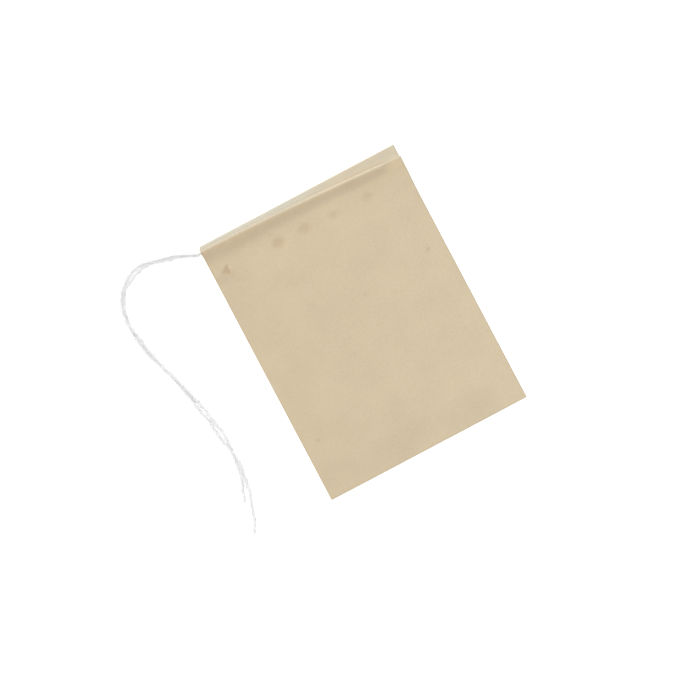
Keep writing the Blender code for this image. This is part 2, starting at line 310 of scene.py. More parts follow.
class BagShape:
    """Heights of the folded web's middle surface, at any place across and up the bag."""

    pressed_gap = 0.00002
    bottom_gap = 0.00025
    pillow_rise = 0.011
    cockle = 0.00008
    cockle_length = 0.023
    mouth_gap = 0.00015
    front_slack = 0.00028
    back_slack = 0.0001
    front_tunnel = 0.0002
    front_tunnel_slope = 0.0036
    back_tunnel = 0.0026
    back_tunnel_slope = 0.0044
    seal_taper = 0.004
    seal_end = 0.004
    corner_slack = 0.0001
    corner_length = 0.009
    back_run_slip = 0.0014
    back_run_slip_length = 0.011

    def __init__(self):
        paper = paper_settings()
        string = string_settings()
        self.paper = paper.thickness
        self.left = BAG_LOW[0]
        self.right = BAG_HIGH[0]
        self.bottom = BAG_LOW[1]
        self.top = BAG_HIGH[1]
        self.width = self.right - self.left
        self.left_seal = self.left + paper.seal_width
        self.right_seal = self.right - paper.seal_width
        self.flap_edge = self.top - paper.hem_depth
        self.drops = (paper.drop_left, paper.drop_right)
        self.drop_bend = paper.drop_bend
        self.pillow = paper.pillow
        self.crinkle_height = paper.crinkle
        self.tunnel_gap = string.diameter + 2 * string.play

    def hem_openness(self, x):
        return 1 - ease(self.right_seal - self.seal_taper, self.right_seal, x)

    def side_openness(self, x):
        return ease(0.0, self.pillow_rise, min(x - self.left_seal, self.right_seal - x))

    def tunnel_radius(self, x):
        gap = mix(self.pressed_gap, self.tunnel_gap, self.hem_openness(x))
        return (self.paper + gap) / 2

    def front_fold_top(self, x):
        share = max((x - self.left) / self.width, 0.0)
        return self.top - mix(self.drops[0], self.drops[1], share**self.drop_bend)

    def fold_centre(self, fold_top, x):
        return fold_top - self.paper / 2 - self.tunnel_radius(x)

    def crinkle(self, x, y, seed):
        """Small waves that fade out in the seals."""
        fine = noise.noise(Vector((x / 0.0032, y / 0.0038, seed)))
        broad = noise.noise(Vector((x / 0.0085, y / 0.011, seed + 7.0)))
        return self.crinkle_height * (fine + 1.6 * broad)

    def spots(self, x, y):
        """How deep the front hem is pressed here, how much painted shade its dents get, and how much painted
        highlight the pinch's ridge gets. All are 0 away from the heat-sealed spots."""
        depth, dent_shade, lit = self.corner_pinch(x, y)
        for centre_x, centre_y, half_x, half_y, most_depth, most_dent_shade in FRONT_SPOTS:
            across = (x / MILLIMETRE - centre_x) / half_x
            up = (y / MILLIMETRE - centre_y) / half_y
            distance = math.hypot(across, up)
            if distance < 2:
                pucker = 0.14 * math.cos(5 * math.atan2(up, across) + centre_x)
                share = 1 - ease(0.2, 1.3 + pucker, distance)
                depth = max(depth, most_depth * share)
                # Painted shade in the dent, darkest in its middle
                dent_shade = max(dent_shade, most_dent_shade * (1 - ease(0.1, 1.3, distance)))
        return depth, dent_shade, lit

    # The pinch's depth, its painted shade, and a painted highlight along the ridge on its right side
    def corner_pinch(self, x, y):
        turn = stage_settings().turn
        across = (x / MILLIMETRE - PINCH_PLACE[0]) / PINCH_REACH
        up = (y / MILLIMETRE - PINCH_PLACE[1]) / PINCH_REACH
        side = across * math.cos(turn) - up * math.sin(turn)
        rise = across * math.sin(turn) + up * math.cos(turn)
        right_side = 0.9 * side + 0.45 * rise
        reach = max(-rise, right_side, 0.45 * rise - 0.85 * side)
        share = 1 - ease(0.5, 1.15, reach)
        ridge = ease(0.85, 1.15, right_side) * (1 - ease(1.15, 1.7, right_side))
        ridge *= ease(-1.2, -0.4, rise) * (1 - ease(0.8, 1.6, rise))
        return 1.4 * share - 2.0 * ridge, 0.8 * share, ridge

    def hem_gap(self, x, y, fold_y, slack, tunnel, slope, pinch):
        standing = 1 - ease(tunnel, tunnel + slope, fold_y - y)
        open_gap = mix(mix(slack, self.pressed_gap, pinch), self.tunnel_gap, standing)
        return mix(self.pressed_gap, open_gap, self.hem_openness(x))

    def back_panel_z(self, x, y):
        return self.paper / 2

    def back_flap_z(self, x, y):
        fold_y = self.fold_centre(self.top, x)
        gap = self.hem_gap(x, y, fold_y, self.back_slack, self.back_tunnel, self.back_tunnel_slope, 0.0)
        return self.paper * 1.5 + gap

    def front_flap_z(self, x, y):
        gap = mix(self.pressed_gap, self.mouth_gap, self.hem_openness(x))
        return self.back_flap_z(x, y) + self.paper + gap

    def front_hem_z(self, x, y):
        fold_y = self.fold_centre(self.front_fold_top(x), x)
        pinch = self.spots(x, y)[0]
        slack = mix(self.corner_slack, self.front_slack, ease(self.left, self.left + self.corner_length, x))
        slack += 1.3 * self.crinkle(x, y, 3.0)
        gap = self.hem_gap(x, y, fold_y, slack, self.front_tunnel, self.front_tunnel_slope, min(pinch, 1.0))
        pressed = max(pinch - 1.0, 0.0) * self.mouth_gap
        return self.front_flap_z(x, y) + self.paper + gap - pressed

    def front_panel_z(self, x, y):
        if y >= self.flap_edge:
            return self.front_hem_z(x, y)
        side = self.side_openness(x)
        across = 2 * math.pi * (x + y / 3) / self.cockle_length
        along = math.pi * y / self.cockle_length
        full = self.pillow + self.cockle * math.sin(across) * math.cos(along)
        gap = mix(self.bottom_gap, full, ease(0.0, self.pillow_rise, y - self.bottom))
        gap += self.crinkle(x, y, 3.0)
        sealed = self.paper * 1.5 + self.pressed_gap
        body = mix(sealed, self.paper * 1.5 + gap, side)
        below_hem = ease(0.0, mix(self.seal_end, self.pillow_rise, side), self.flap_edge - y)
        return mix(self.front_hem_z(x, y), body, below_hem)

    def front_run_place(self, x):
        fold_y = self.fold_centre(self.front_fold_top(x), x)
        return Vector((x, fold_y, self.front_flap_z(x, fold_y) + self.tunnel_radius(x)))

    def back_run_place(self, x):
        slip = self.back_run_slip * (1 - ease(self.left, self.left + self.back_run_slip_length, x))
        fold_y = self.fold_centre(self.top, x)
        return Vector((x, fold_y - slip, self.paper / 2 + self.tunnel_radius(x)))


# String


STRING_GAP = 0.0003
RUN_STEP = 0.0025
ROUTE_STEP = 0.0016


def smooth_path(points, step):
    """Points about a step apart on a smooth curve through the given ones."""
    last = len(points) - 1
    path = []
    for index in range(last):
        before = points[max(index - 1, 0)]
        start = points[index]
        end = points[index + 1]
        after = points[min(index + 2, last)]
        pieces = max(1, round((end - start).length / step))
        for piece in range(pieces):
            t = piece / pieces
            tangent_in = (end - before) / 2
            tangent_out = (after - start) / 2
            point = (2 * t**3 - 3 * t**2 + 1) * start + (t**3 - 2 * t**2 + t) * tangent_in
            point += (3 * t**2 - 2 * t**3) * end + (t**3 - t**2) * tangent_out
            path.append(point)
    path.append(points[-1])
    return path


def tail_path(exit_point, route):
    points = [exit_point] + [CORNER + Vector(place) * MILLIMETRE for place in route]
    path = smooth_path(points, ROUTE_STEP)
    radius = string_settings().diameter / 2
    for point in path:
        point.z = max(point.z, radius)
    return path


def run_path(shape, place):
    start = shape.left - STRING_GAP
    end = shape.right_seal - shape.seal_taper
    count = round((end - shape.left) / RUN_STEP)
    path = [place(mix(shape.left, end, index / count)) for index in range(count + 1)]
    edge = path[0]
    return [Vector((start, edge.y, edge.z))] + path


class NodeTree:
    """Short calls for adding and joining nodes in one tree."""

    def __init__(self, tree):
        self.tree = tree

    def add(self, kind, inputs=None, **settings):
        node = self.tree.nodes.new(kind)
        for name, value in settings.items():
            setattr(node, name, value)
        for key, value in (inputs or {}).items():
            if isinstance(value, bpy.types.NodeSocket):
                self.tree.links.new(value, node.inputs[key])
            else:
                node.inputs[key].default_value = value
        return node

    def math(self, operation, first, second=0.0):
        return self.add("ShaderNodeMath", {0: first, 1: second}, operation=operation).outputs[0]

    def vector(self, operation, first, second=(0.0, 0.0, 0.0)):
        return self.add("ShaderNodeVectorMath", {0: first, 1: second}, operation=operation).outputs[0]

    def mapped(self, value, start, end, low=0.0, high=1.0):
        """The value, moved from the range start to end into the range low to high."""
        inputs = {"Value": value, "From Min": start, "From Max": end, "To Min": low, "To Max": high}
        return self.add("ShaderNodeMapRange", inputs).outputs[0]

    def scaled(self, vector, scale):
        node = self.add("ShaderNodeVectorMath", {0: vector, "Scale": scale}, operation="SCALE")
        return node.outputs[0]


STRING_INPUTS = (
    ("Diameter", "NodeSocketFloat", 0.0005),
    ("Twist Pitch", "NodeSocketFloat", 0.0016),
    ("Fuzz Length", "NodeSocketFloat", 0.0007),
    ("Fuzz Spacing", "NodeSocketFloat", 0.000042),
    ("Fray Length", "NodeSocketFloat", 0.0016),
    ("Seed", "NodeSocketInt", 1),
    ("Material", "NodeSocketMaterial", None),
)
PLIES = 3
PLY_RADIUS_SHARE = 0.31
PLY_OFFSET_SHARE = 0.22
PLY_SIDES = 7
STEPS_A_TURN = 12
FIBRE_RADIUS = 0.000016
FIBRE_SIDES = 3
FRAY_FIBRES = 40
FUZZ_BEND = ((0.0, 0.3, 0.0), (0.12, 0.75, 0.35), (-0.12, 0.62, 1.1))
FRAY_BEND = ((0.0, 0.0, 0.0), (0.0, 0.2, 0.5), (0.0, 0.05, 1.0))
FUZZ_IN_HEM = 0.35
LEAST_HEIGHT = 0.00001


def ply_curve(nodes, path, group, index):
    """The path wound round itself at a ply's distance from the middle."""
    along = nodes.add("GeometryNodeSplineParameter").outputs["Length"]
    turns = nodes.math("DIVIDE", along, group["Twist Pitch"])
    angle = nodes.math("MULTIPLY_ADD", turns, 2 * math.pi)
    angle.node.inputs[2].default_value = 2 * math.pi * index / PLIES
    normal = nodes.add("GeometryNodeInputNormal").outputs[0]
    tangent = nodes.add("GeometryNodeInputTangent").outputs[0]
    binormal = nodes.vector("CROSS_PRODUCT", tangent, normal)
    across = nodes.scaled(normal, nodes.math("COSINE", angle))
    upward = nodes.scaled(binormal, nodes.math("SINE", angle))
    offset = nodes.math("MULTIPLY", group["Diameter"], PLY_OFFSET_SHARE)
    shift = nodes.scaled(nodes.vector("ADD", across, upward), offset)
    return nodes.add("GeometryNodeSetPosition", {"Geometry": path, "Offset": shift}).outputs[0]


def loose_fibres(nodes, points, group, length, bend, tilt, seed_shift):
    """Thin bent fibres at each point, turned at random round the string. Bend holds a fibre's start, middle
    and end, in shares of its length outwards from the string's middle and along it."""
    start, middle, end = bend
    line = nodes.add(
        "GeometryNodeCurveQuadraticBezier", {"Resolution": 3, "Start": start, "Middle": middle, "End": end}
    ).outputs[0]
    seed = nodes.math("ADD", group["Seed"], seed_shift)
    scale = nodes.add("FunctionNodeRandomValue", {2: 0.6, 3: 1.1, "Seed": seed}, data_type="FLOAT").outputs[1]
    size = nodes.math("MULTIPLY", scale, length)
    turn = nodes.add(
        "FunctionNodeRandomValue",
        {0: (-tilt, -tilt, -math.pi), 1: (tilt, tilt, math.pi), "Seed": seed},
        data_type="FLOAT_VECTOR",
    ).outputs[0]
    place, facing = points.outputs["Points"], points.outputs["Rotation"]
    placed = nodes.add(
        "GeometryNodeInstanceOnPoints", {"Points": place, "Instance": line, "Rotation": facing, "Scale": size}
    ).outputs[0]
    turned = nodes.add(
        "GeometryNodeRotateInstances", {"Instances": placed, "Rotation": turn, "Local Space": True}
    ).outputs[0]
    curves = nodes.add("GeometryNodeRealizeInstances", {"Geometry": turned}).outputs[0]
    ring = nodes.add(
        "GeometryNodeCurvePrimitiveCircle", {"Resolution": FIBRE_SIDES, "Radius": FIBRE_RADIUS}
    ).outputs[0]
    return nodes.add(
        "GeometryNodeCurveToMesh", {"Curve": curves, "Profile Curve": ring, "Fill Caps": True}
    ).outputs[0]


def make_string_tree():
    """Geometry Nodes: three twisted plies along a path, with loose fibres and a frayed far end."""
    tree = bpy.data.node_groups.new("twisted string", "GeometryNodeTree")
    tree.interface.new_socket(name="Geometry", in_out="INPUT", socket_type="NodeSocketGeometry")
    for name, kind, default in STRING_INPUTS:
        socket = tree.interface.new_socket(name=name, in_out="INPUT", socket_type=kind)
        if default is not None:
            socket.default_value = default
    tree.interface.new_socket(name="Geometry", in_out="OUTPUT", socket_type="NodeSocketGeometry")
    nodes = NodeTree(tree)
    group = nodes.add("NodeGroupInput").outputs
    upright = nodes.add("GeometryNodeSetCurveNormal", {"Curve": group["Geometry"]}, mode="Z_UP").outputs[0]
    step = nodes.math("DIVIDE", group["Twist Pitch"], STEPS_A_TURN)
    path = nodes.add("GeometryNodeResampleCurve", {"Curve": upright, "Length": step}, mode="LENGTH")
    path = path.outputs[0]
    joined = nodes.add("GeometryNodeJoinGeometry")
    radius = nodes.math("MULTIPLY", group["Diameter"], PLY_RADIUS_SHARE)
    ring = nodes.add("GeometryNodeCurvePrimitiveCircle", {"Resolution": PLY_SIDES, "Radius": radius})
    for index in range(PLIES):
        ply = ply_curve(nodes, path, group, index)
        tube = nodes.add("GeometryNodeCurveToMesh", {"Curve": ply, "Profile Curve": ring.outputs[0]})
        tube.inputs["Fill Caps"].default_value = True
        tree.links.new(tube.outputs[0], joined.inputs[0])
    fuzz_points = nodes.add(
        "GeometryNodeCurveToPoints", {"Curve": path, "Length": group["Fuzz Spacing"]}, mode="LENGTH"
    )
    fuzz = loose_fibres(nodes, fuzz_points, group, group["Fuzz Length"], FUZZ_BEND, 0.4, 0)
    tree.links.new(fuzz, joined.inputs[0])
    whole = nodes.add("GeometryNodeCurveLength", {"Curve": path}).outputs[0]
    fray_start = nodes.math("SUBTRACT", whole, nodes.math("MULTIPLY", group["Fray Length"], 0.35))
    end = nodes.add("GeometryNodeTrimCurve", {"Curve": path}, mode="LENGTH")
    tree.links.new(fray_start, end.inputs[4])
    tree.links.new(whole, end.inputs[5])
    fray_points = nodes.add(
        "GeometryNodeCurveToPoints", {"Curve": end.outputs[0], "Count": FRAY_FIBRES}, mode="COUNT"
    )
    fray = loose_fibres(nodes, fray_points, group, group["Fray Length"], FRAY_BEND, 0.3, 5)
    tree.links.new(fray, joined.inputs[0])
    place = nodes.add("ShaderNodeSeparateXYZ", {0: nodes.add("GeometryNodeInputPosition").outputs[0]}).outputs
    height = nodes.math("MAXIMUM", place["Z"], LEAST_HEIGHT)
    lifted = nodes.add("ShaderNodeCombineXYZ", {"X": place["X"], "Y": place["Y"], "Z": height}).outputs[0]
    resting = nodes.add("GeometryNodeSetPosition", {"Geometry": joined.outputs[0], "Position": lifted})
    real = nodes.add("GeometryNodeRealizeInstances", {"Geometry": resting.outputs[0]})
    smooth = nodes.add("GeometryNodeSetShadeSmooth", {"Geometry": real.outputs[0], "Shade Smooth": True})
    cotton = {"Geometry": smooth.outputs[0], "Material": group["Material"]}
    done = nodes.add("GeometryNodeSetMaterial", cotton)
    nodes.add("NodeGroupOutput", {"Geometry": done.outputs[0]})
    return tree


def make_string_piece(name, path, tree, material, seed, fuzz=1.0):
    """One length of string as a plain mesh, wound along the path. Fuzz is how loose its fibres are."""
    curve = bpy.data.curves.new(name, "CURVE")
    curve.dimensions = "3D"
    line = curve.splines.new("POLY")
    line.points.add(len(path) - 1)
    for point, place in zip(line.points, path):
        point.co = (*place, 1.0)
    guide = link(bpy.data.objects.new(name + "_guide", curve))
    winding = guide.modifiers.new("winding", "NODES")
    winding.node_group = tree
    settings = string_settings()
    values = {
        "Diameter": settings.diameter,
        "Twist Pitch": settings.twist_pitch,
        "Fuzz Length": settings.fuzz_length * fuzz,
        "Fuzz Spacing": settings.fuzz_spacing / fuzz,
        "Seed": seed,
        "Material": material,
    }
    for socket in tree.interface.items_tree:
        if socket.in_out == "INPUT" and socket.name in values:
            winding[socket.identifier] = values[socket.name]
    return baked(guide, name)


# Materials


def make_fibre_group():
    """Shader group: a mat of long thin fibres crossing at several angles."""
    tree = bpy.data.node_groups.new("fibre mat", "ShaderNodeTree")
    tree.interface.new_socket(name="Vector", in_out="INPUT", socket_type="NodeSocketVector")
    tree.interface.new_socket(name="Fibres", in_out="OUTPUT", socket_type="NodeSocketFloat")
    nodes = NodeTree(tree)
    group = nodes.add("NodeGroupInput").outputs
    total = 0.0
    for index, degrees in enumerate((4, 38, 71, 103, 140)):
        turned = nodes.add(
            "ShaderNodeMapping",
            {"Vector": group["Vector"], "Location": (index * 0.37, index * 0.19, 0.0)},
            vector_type="POINT",
        )
        turned.inputs["Rotation"].default_value = (0.0, 0.0, math.radians(degrees))
        bent = nodes.add("ShaderNodeTexNoise", {"Vector": turned.outputs[0], "Scale": 260.0, "Detail": 0.0})
        shifted = nodes.vector("ADD", turned.outputs[0], nodes.scaled(bent.outputs["Color"], 0.0011))
        stretched = nodes.vector("MULTIPLY", shifted, (220.0, 7000.0, 1.0))
        streaks = nodes.add("ShaderNodeTexNoise", {"Vector": stretched, "Scale": 1.0, "Detail": 1.0})
        strand = nodes.mapped(streaks.outputs[0], 0.58, 0.74)
        total = nodes.math("MAXIMUM", strand, total)
    nodes.add("NodeGroupOutput", {"Fibres": total})
    return tree


def blend_color(nodes, share, first, second, blend="MIX"):
    node = nodes.add("ShaderNodeMix", {0: share, 6: first, 7: second}, data_type="RGBA", blend_type=blend)
    return node.outputs[2]


def new_material(name, roughness):
    material = bpy.data.materials.new(name)
    material.use_nodes = True
    shader = material.node_tree.nodes["Principled BSDF"]
    shader.inputs["Roughness"].default_value = roughness
    shader.inputs["Specular IOR Level"].default_value = 0.25
    return material, NodeTree(material.node_tree), shader


def make_paper_material(fibre_group):
    """Unbleached filter paper: cloudy, with long fibres and a few flecks, deeper where layers meet, with
    painted shade under the front fold and in the sealed dents, and painted highlight on the fold crests.
    """
    settings = paper_settings()
    material, nodes, shader = new_material("unbleached_filter_paper", 0.92)
    links = material.node_tree.links
    place = nodes.add("ShaderNodeUVMap", uv_map="web").outputs[0]
    marks = nodes.add("ShaderNodeAttribute", attribute_name="layers")
    shares = nodes.add("ShaderNodeSeparateColor", {0: marks.outputs["Color"]}).outputs
    body = (*settings.color, 1.0)
    # The hem colour is also painted shade just under the front fold, the strip colour also paints the front
    # crest's highlight, and the pressed colour is painted shade in the sealed dents
    color = blend_color(nodes, shares[0], body, (*settings.hem_and_fold_shade_color, 1.0))
    color = blend_color(nodes, shares[1], color, (*settings.strip_color, 1.0))
    color = blend_color(nodes, shares[2], color, (*settings.dent_shade_color, 1.0))

    clouds = nodes.add(
        "ShaderNodeTexNoise", {"Vector": place, "Scale": 75.0, "Detail": 3.0, "Roughness": 0.55}
    )
    cloud = nodes.mapped(clouds.outputs[0], 0.3, 0.7, 0.97, 1.03)
    grain = nodes.add(
        "ShaderNodeTexNoise", {"Vector": place, "Scale": 1300.0, "Detail": 3.0, "Roughness": 0.65}
    )
    grains = nodes.mapped(grain.outputs[0], 0.3, 0.7, 0.96, 1.04)
    # Painted highlight: the lit share lightens the fold crests, the pinch's ridge and the back flap just
    # above the front fold by up to a tenth
    painted_highlight = nodes.mapped(marks.outputs["Alpha"], 0.0, 1.0, 1.0, 1.1)
    tone = nodes.math("MULTIPLY", nodes.math("MULTIPLY", cloud, grains), painted_highlight)
    toned = nodes.add("ShaderNodeCombineColor", {0: tone, 1: tone, 2: tone}).outputs[0]
    color = blend_color(nodes, 1.0, color, toned, "MULTIPLY")

    fibres = nodes.add("ShaderNodeGroup", node_tree=fibre_group)
    links.new(place, fibres.inputs[0])
    pale = blend_color(nodes, 0.5, body, (0.86, 0.78, 0.62, 1.0))
    color = blend_color(nodes, nodes.math("MULTIPLY", fibres.outputs[0], 0.22), color, pale)

    cells = nodes.add("ShaderNodeTexVoronoi", {"Vector": place, "Scale": 170.0}, feature="F1")
    fleck = nodes.mapped(cells.outputs["Distance"], 0.17, 0.04)
    chosen = nodes.add("ShaderNodeSeparateColor", {0: cells.outputs["Color"]}).outputs[0]
    few = nodes.mapped(chosen, 0.68, 1.0)
    fleck_share = nodes.math("MULTIPLY", nodes.math("MULTIPLY", fleck, few), 0.4)
    color = blend_color(nodes, fleck_share, color, (*settings.fleck_color, 1.0))
    links.new(color, shader.inputs["Base Color"])

    fibre_height = nodes.math("MULTIPLY", fibres.outputs[0], 0.6)
    grain_height = nodes.math("MULTIPLY", grain.outputs[0], 0.8)
    height = nodes.math("ADD", fibre_height, grain_height)
    bump = nodes.add("ShaderNodeBump", {"Height": height, "Strength": 0.35, "Distance": 0.00006})
    links.new(bump.outputs[0], shader.inputs["Normal"])
    return material


def make_string_material():
    """Bleached cotton: a little uneven along each ply, soft at its edges, with a faint painted glow that
    lifts its shade.
    """
    settings = string_settings()
    material, nodes, shader = new_material("white_cotton", 0.88)
    place = nodes.add("ShaderNodeTexCoord").outputs["Object"]
    uneven = nodes.add("ShaderNodeTexNoise", {"Vector": place, "Scale": 900.0, "Detail": 2.0})
    tone = nodes.mapped(uneven.outputs[0], 0.3, 0.7, 0.93, 1.05)
    toned = nodes.add("ShaderNodeCombineColor", {0: tone, 1: tone, 2: tone}).outputs[0]
    color = blend_color(nodes, 1.0, (*settings.color, 1.0), toned, "MULTIPLY")
    material.node_tree.links.new(color, shader.inputs["Base Color"])
    shader.inputs["Sheen Weight"].default_value = 0.3
    shader.inputs["Sheen Roughness"].default_value = 0.6
    # Painted light: a faint even glow that lifts the shade in the string's grooves and on its sides
    shader.inputs["Emission Color"].default_value = (1.0, 1.0, 1.0, 1.0)
    shader.inputs["Emission Strength"].default_value = 0.1
    return material


# The folded web


FLAP_ROWS = 20
BACK_ROWS = 30
BODY_ROWS = 125
HEM_ROWS = 34
ARC_STEPS = 9
BOTTOM_ARC_STEPS = 6
WEB_COLUMNS = 150
# What each value of the "layers" attribute says: four layers at a hem, with painted shade laid deepest just
# under the front fold; table showing through the strip, and painted highlight on the front crest in that
# colour; painted shade in a sealed spot's dent; and painted highlight on the crests, the pinch's ridge and
# the back flap above the front fold
SHARES = ("hem", "strip", "pressed", "lit")
# Painted shade: how much hem colour is laid on just under the front fold, where the fold's slope is in shade
HEM_FOLD_SHADE_TONE = 0.78
HEM_END_TONE = 0.42
HEM_MIDDLE_TONE = 0.12
STRIP_RIGHT_TONE = 0.4
# Painted highlight on the front fold's crest, in strip colour and as lit share, weaker at the left; and
# painted light reaching this far up the back flap above the front fold
CREST_HIGHLIGHT_STRIP_TONE = 0.4
CREST_LEFT_LIGHT = 0.25
LIT_FLAP_REACH = 0.0016


def spaced(start, end, count):
    return [mix(start, end, index / (count - 1)) for index in range(count)]


def back_skew(shape, x, y):
    """The back hem's cut end starts inside the top left corner and leans out past the front one."""
    below_top = (shape.top - y) / MILLIMETRE
    lean = mix(0.5, -0.38, ease(0.0, 1.7, below_top)) * (1 - ease(1.7, 2.7, below_top))
    return lean * MILLIMETRE * (1 - ease(shape.left, shape.left + 0.012, x))


def front_skew(shape, x, y):
    """The front panel's top corners stand a little to the right of the back panel's."""
    near_top = ease(shape.flap_edge - 0.008, shape.top - 0.002, y)
    left_share = 1 - ease(shape.left, shape.left + 0.008, x)
    right_share = ease(shape.right - 0.012, shape.right, x)
    return near_top * (0.3 * right_share + 0.2 * left_share) * MILLIMETRE


class Section:
    """The web's middle line at one place across it. Each point holds its place and its shares."""

    def __init__(self, shape, x):
        self.shape = shape
        self.x = x
        self.points = []

    def add(self, y, z, skew, **shares):
        place = (self.x + skew(self.shape, self.x, y), y, z)
        self.points.append((place, [shares.get(name, 0.0) for name in SHARES]))

    def add_arc(self, centre_y, centre_z, radius, start, end, steps, skew, **shares):
        """Points between two angles, in degrees from +Y towards +Z, both ends left out."""
        for step in range(1, steps):
            angle = math.radians(mix(start, end, step / steps))
            self.add(centre_y + radius * math.cos(angle), centre_z + radius * math.sin(angle), skew, **shares)


def hem_tone(shape, x, y, front_fold):
    """Four layers under the front hem, with painted shade laid on deepest just under the fold, where the
    fold's slope is in shade; wider at both ends of the hem, and fading out below the turned-in edge."""
    left_end = ease(-0.030, -0.026, x) * (1 - ease(-0.022, -0.010, x))
    right_end = ease(0.014, 0.027, x)
    near_fold_shade = HEM_FOLD_SHADE_TONE * (1 - right_end) * ease(front_fold - 0.0031, front_fold - 0.0005, y)
    wide = mix(HEM_MIDDLE_TONE, HEM_END_TONE, left_end + right_end)
    wide *= ease(front_fold - 0.0085, front_fold - 0.003, y)
    tone = max(near_fold_shade, wide) * (1 - ease(front_fold - 0.0006, front_fold, y))
    return tone * ease(shape.flap_edge - 0.0015, shape.flap_edge + 0.001, y)


def web_section(shape, x):
    section = Section(shape, x)
    radius = shape.tunnel_radius(x)
    back_fold = shape.fold_centre(shape.top, x)
    front_top = shape.front_fold_top(x)
    front_fold = shape.fold_centre(front_top, x)

    paleness = mix(1.0, STRIP_RIGHT_TONE, ease(-0.008, 0.018, x))
    # Painted highlight on the front fold's crest, weaker at the left
    lit_crest = mix(CREST_LEFT_LIGHT, 1.0, ease(-0.012, 0.022, x))
    for y in spaced(shape.flap_edge, back_fold, FLAP_ROWS):
        strip = paleness * ease(front_top - 0.0008, front_top, y)
        # Painted light on the back flap just above the front fold, against the shade of the step there
        lit = 1 - ease(front_top, front_top + LIT_FLAP_REACH, y)
        section.add(y, shape.back_flap_z(x, y), back_skew, strip=strip, lit=lit)
    centre_z = shape.paper / 2 + radius
    section.add_arc(back_fold, centre_z, radius, 90, -90, ARC_STEPS, back_skew, strip=paleness)
    bottom_radius = (shape.front_panel_z(x, shape.bottom) - shape.paper / 2) / 2
    bottom_centre = shape.bottom + shape.paper / 2 + bottom_radius
    for y in spaced(back_fold, bottom_centre, BACK_ROWS):
        section.add(y, shape.back_panel_z(x, y), back_skew)
    centre_z = shape.paper / 2 + bottom_radius
    section.add_arc(bottom_centre, centre_z, bottom_radius, -90, -270, BOTTOM_ARC_STEPS, front_skew)
    section.add(bottom_centre, centre_z + bottom_radius, front_skew)
    for y in spaced(bottom_centre + 0.0004, shape.flap_edge - 0.0003, BODY_ROWS):
        # Painted shade in the sealed dents and painted highlight on the pinch's ridge
        pressed, lit = shape.spots(x, y)[1:]
        hem = hem_tone(shape, x, y, front_fold)
        section.add(y, shape.front_panel_z(x, y), front_skew, hem=hem, pressed=pressed, lit=lit)
    for y in spaced(shape.flap_edge, front_fold, HEM_ROWS):
        # Painted highlight along the front fold's crest, in strip colour and as lit share
        crest_highlight = ease(front_fold - 0.0006, front_fold + 0.0001, y)
        # Painted shade in the sealed dents and painted highlight on the pinch's ridge
        pressed, lit = shape.spots(x, y)[1:]
        lit += lit_crest * crest_highlight
        hem = hem_tone(shape, x, y, front_fold)
        strip = CREST_HIGHLIGHT_STRIP_TONE * crest_highlight
        section.add(y, shape.front_hem_z(x, y), front_skew, hem=hem, strip=strip, pressed=pressed, lit=lit)
    centre_z = shape.front_flap_z(x, front_fold) + radius
    # Painted highlight on the front fold's arc
    crest_highlight_shares = {"strip": CREST_HIGHLIGHT_STRIP_TONE, "lit": lit_crest}
    section.add_arc(front_fold, centre_z, radius, 90, -90, ARC_STEPS, front_skew, **crest_highlight_shares)
    for y in reversed(spaced(shape.flap_edge, front_fold, FLAP_ROWS)):
        section.add(y, shape.front_flap_z(x, y), front_skew)
    return section.points


def make_web(shape, material):
    """The web as one grid, folded column by column, mapped flat along its length, then made thick."""
    columns = spaced(shape.left, shape.right, WEB_COLUMNS)
    sections = [web_section(shape, x) for x in columns]
    grid = bmesh.new()
    uv_layer = grid.loops.layers.uv.new("web")
    layers = grid.verts.layers.float_color.new("layers")
    rows = []
    unrolled = {}
    for x, section in zip(columns, sections):
        row = []
        length = 0.0
        for index, (place, shares) in enumerate(section):
            if index:
                before = section[index - 1][0]
                length += math.hypot(place[1] - before[1], place[2] - before[2])
            vertex = grid.verts.new(place)
            vertex[layers] = shares
            unrolled[vertex] = (x, length)
            row.append(vertex)
        rows.append(row)
    for first, second in zip(rows, rows[1:]):
        for index in range(len(first) - 1):
            grid.faces.new((first[index], second[index], second[index + 1], first[index + 1]))
    for face in grid.faces:
        face.smooth = True
        for corner in face.loops:
            corner[uv_layer].uv = unrolled[corner.vert]
    mesh = bpy.data.meshes.new("web")
    grid.to_mesh(mesh)
    grid.free()
    mesh.materials.append(material)
    web = link(bpy.data.objects.new("web", mesh))
    thickness = web.modifiers.new("paper thickness", "SOLIDIFY")
    thickness.thickness = shape.paper
    thickness.offset = 0.0
    thickness.use_even_offset = True
    thickness.use_quality_normals = True
    return baked(web, "paper_bag")


# Stage


FLOOR_REACH = 3.0
FLOOR_GAP = 0.0001
FLOOR_GLOW = 0.45


def make_camera():
    settings = stage_settings()
    lens = bpy.data.cameras.new("camera")
    lens.lens = 100.0
    lens.sensor_width = 36.0
    distance = settings.picture_width * lens.lens / lens.sensor_width
    camera = link(bpy.data.objects.new("camera", lens))
    camera.location = (settings.look_x, settings.look_y, distance)
    camera.rotation_euler = (0.0, 0.0, -settings.turn)
    lens.clip_start = 0.01
    lens.clip_end = 20.0
    bpy.context.scene.camera = camera


def make_floor():
    mesh = bpy.data.meshes.new("floor")
    shape = bmesh.new()
    bmesh.ops.create_grid(shape, x_segments=2, y_segments=2, size=FLOOR_REACH)
    shape.to_mesh(mesh)
    shape.free()
    floor = link(bpy.data.objects.new("floor", mesh))
    floor.location.z = -FLOOR_GAP
    material, nodes, shader = new_material("white_table", 0.9)
    shader.inputs["Base Color"].default_value = (0.9, 0.9, 0.9, 1.0)
    shader.inputs["Emission Color"].default_value = (1.0, 1.0, 1.0, 1.0)
    shader.inputs["Emission Strength"].default_value = FLOOR_GLOW
    mesh.materials.append(material)


